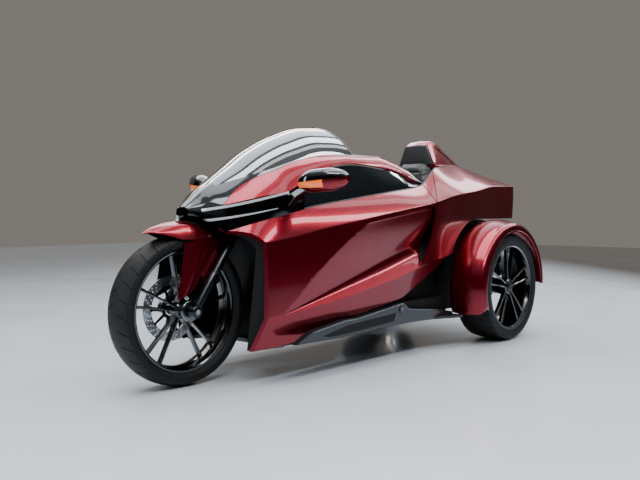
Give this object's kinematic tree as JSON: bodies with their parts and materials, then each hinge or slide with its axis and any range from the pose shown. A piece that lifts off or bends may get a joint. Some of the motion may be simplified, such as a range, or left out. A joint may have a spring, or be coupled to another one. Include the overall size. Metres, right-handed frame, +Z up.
{
  "type": "three-wheeled motorcycle with a faired cockpit",
  "caption": "Three-wheeled motorcycle: a steered front wheel in a raked fork, rear wheels under round fenders, a faired open cockpit with a bubble windscreen and a pointed tail.",
  "frame": {"origin": "on the floor under the middle of the vehicle's length and width", "axes": "+X forward, +Y left, +Z up"},
  "size_m": [3.1075, 1.24, 1.2989],
  "materials": {
    "red_paint": "candy metallic clear coat, high gloss",
    "gloss_black": "moulded, high gloss",
    "matte_black": "moulded, fine grain",
    "wheel_black": "gloss powder coat",
    "tyre_rubber": "matte moulded rubber",
    "tinted_glass": "dark tinted, mirror-like coat",
    "lamp_lens": "clear over white",
    "red_lens": "clear red",
    "amber_lens": "clear amber",
    "disc_steel": "turned",
    "fork_metal": "satin anodised",
    "rail_graphite": "satin with polished edges",
    "frame_steel": "satin powder coat",
    "engine_alloy": "as cast",
    "seat_leather": "fine grain, satin",
    "mirror_silver": "silvered"
  },
  "bodies": {
    "chassis": {"side_panel_left": "red_paint", "side_panel_right": "red_paint", "rear_quarter_left": "red_paint", "rear_quarter_right": "red_paint", "cockpit_collar_left": "red_paint", "cockpit_collar_right": "red_paint", "nose_panel": "gloss_black", "headlamp_left": "lamp_lens", "headlamp_right": "lamp_lens", "arch_rail_left": "red_paint", "arch_rail_right": "red_paint", "windscreen": "tinted_glass", "side_window_left": "tinted_glass", "side_window_right": "tinted_glass", "cockpit_tub": "matte_black", "rear_deck": "red_paint", "headrest_hump": "red_paint", "headrest_pad": "seat_leather", "seat_back": "seat_leather", "seat_cushion": "seat_leather", "dash_panel": "matte_black", "rear_fender_left": "red_paint", "rear_fender_right": "red_paint", "rear_axle": "frame_steel", "fender_stay_left": "frame_steel", "fender_stay_right": "frame_steel", "rear_frame": "frame_steel", "engine_block": "engine_alloy", "tail_panel": "matte_black", "tail_lamps": "red_lens", "side_rail_left": "rail_graphite", "side_rail_right": "rail_graphite", "chassis_frame": "frame_steel", "belly_pan": "matte_black", "front_skid": "rail_graphite", "wheel_well_liner": "matte_black", "steering_head": "frame_steel", "mirror_left": "gloss_black", "mirror_right": "gloss_black", "turn_signals": "amber_lens", "mirror_glasses": "mirror_silver"},
    "front_wheel_body": {"front_tyre": "tyre_rubber", "front_wheel": "wheel_black", "front_disc": "disc_steel"},
    "steering_fork": {"fork_legs": "fork_metal", "front_axle": "disc_steel", "fork_yokes": "fork_metal", "front_caliper": "wheel_black", "front_fender": "red_paint"},
    "rear_left_body": {"rear_tyre_left": "tyre_rubber", "rear_wheel_left": "wheel_black"},
    "rear_right_body": {"rear_tyre_right": "tyre_rubber", "rear_wheel_right": "wheel_black"},
    "handlebar_body": {"handlebar": "frame_steel"}
  },
  "joints": [
    {"name": "steering", "type": "hinge", "parent": "chassis", "child": "steering_fork", "pos_m": [1.15529, 0, 0.32882], "axis": [-0.5736, 0, 0.8192], "range_deg": [-28, 28]},
    {"name": "front_wheel_spin", "type": "hinge", "parent": "steering_fork", "child": "front_wheel_body", "pos_m": [1.19625, 0, 0.3575], "axis": [0, 1, 0], "continuous": true},
    {"name": "rear_left_spin", "type": "hinge", "parent": "chassis", "child": "rear_left_body", "pos_m": [-0.98875, 0.4825, 0.3425], "axis": [0, 1, 0], "continuous": true},
    {"name": "rear_right_spin", "type": "hinge", "parent": "chassis", "child": "rear_right_body", "pos_m": [-0.98875, -0.4825, 0.3425], "axis": [0, 1, 0], "continuous": true},
    {"name": "handlebar_turn", "type": "hinge", "parent": "chassis", "child": "handlebar_body", "pos_m": [0.29125, 0, 0.88], "axis": [-0.5736, 0, 0.8192], "range_deg": [-28, 28]}
  ],
  "couplings": [
    {"joint": "handlebar_turn", "follows": "steering", "ratio": 1}
  ]
}
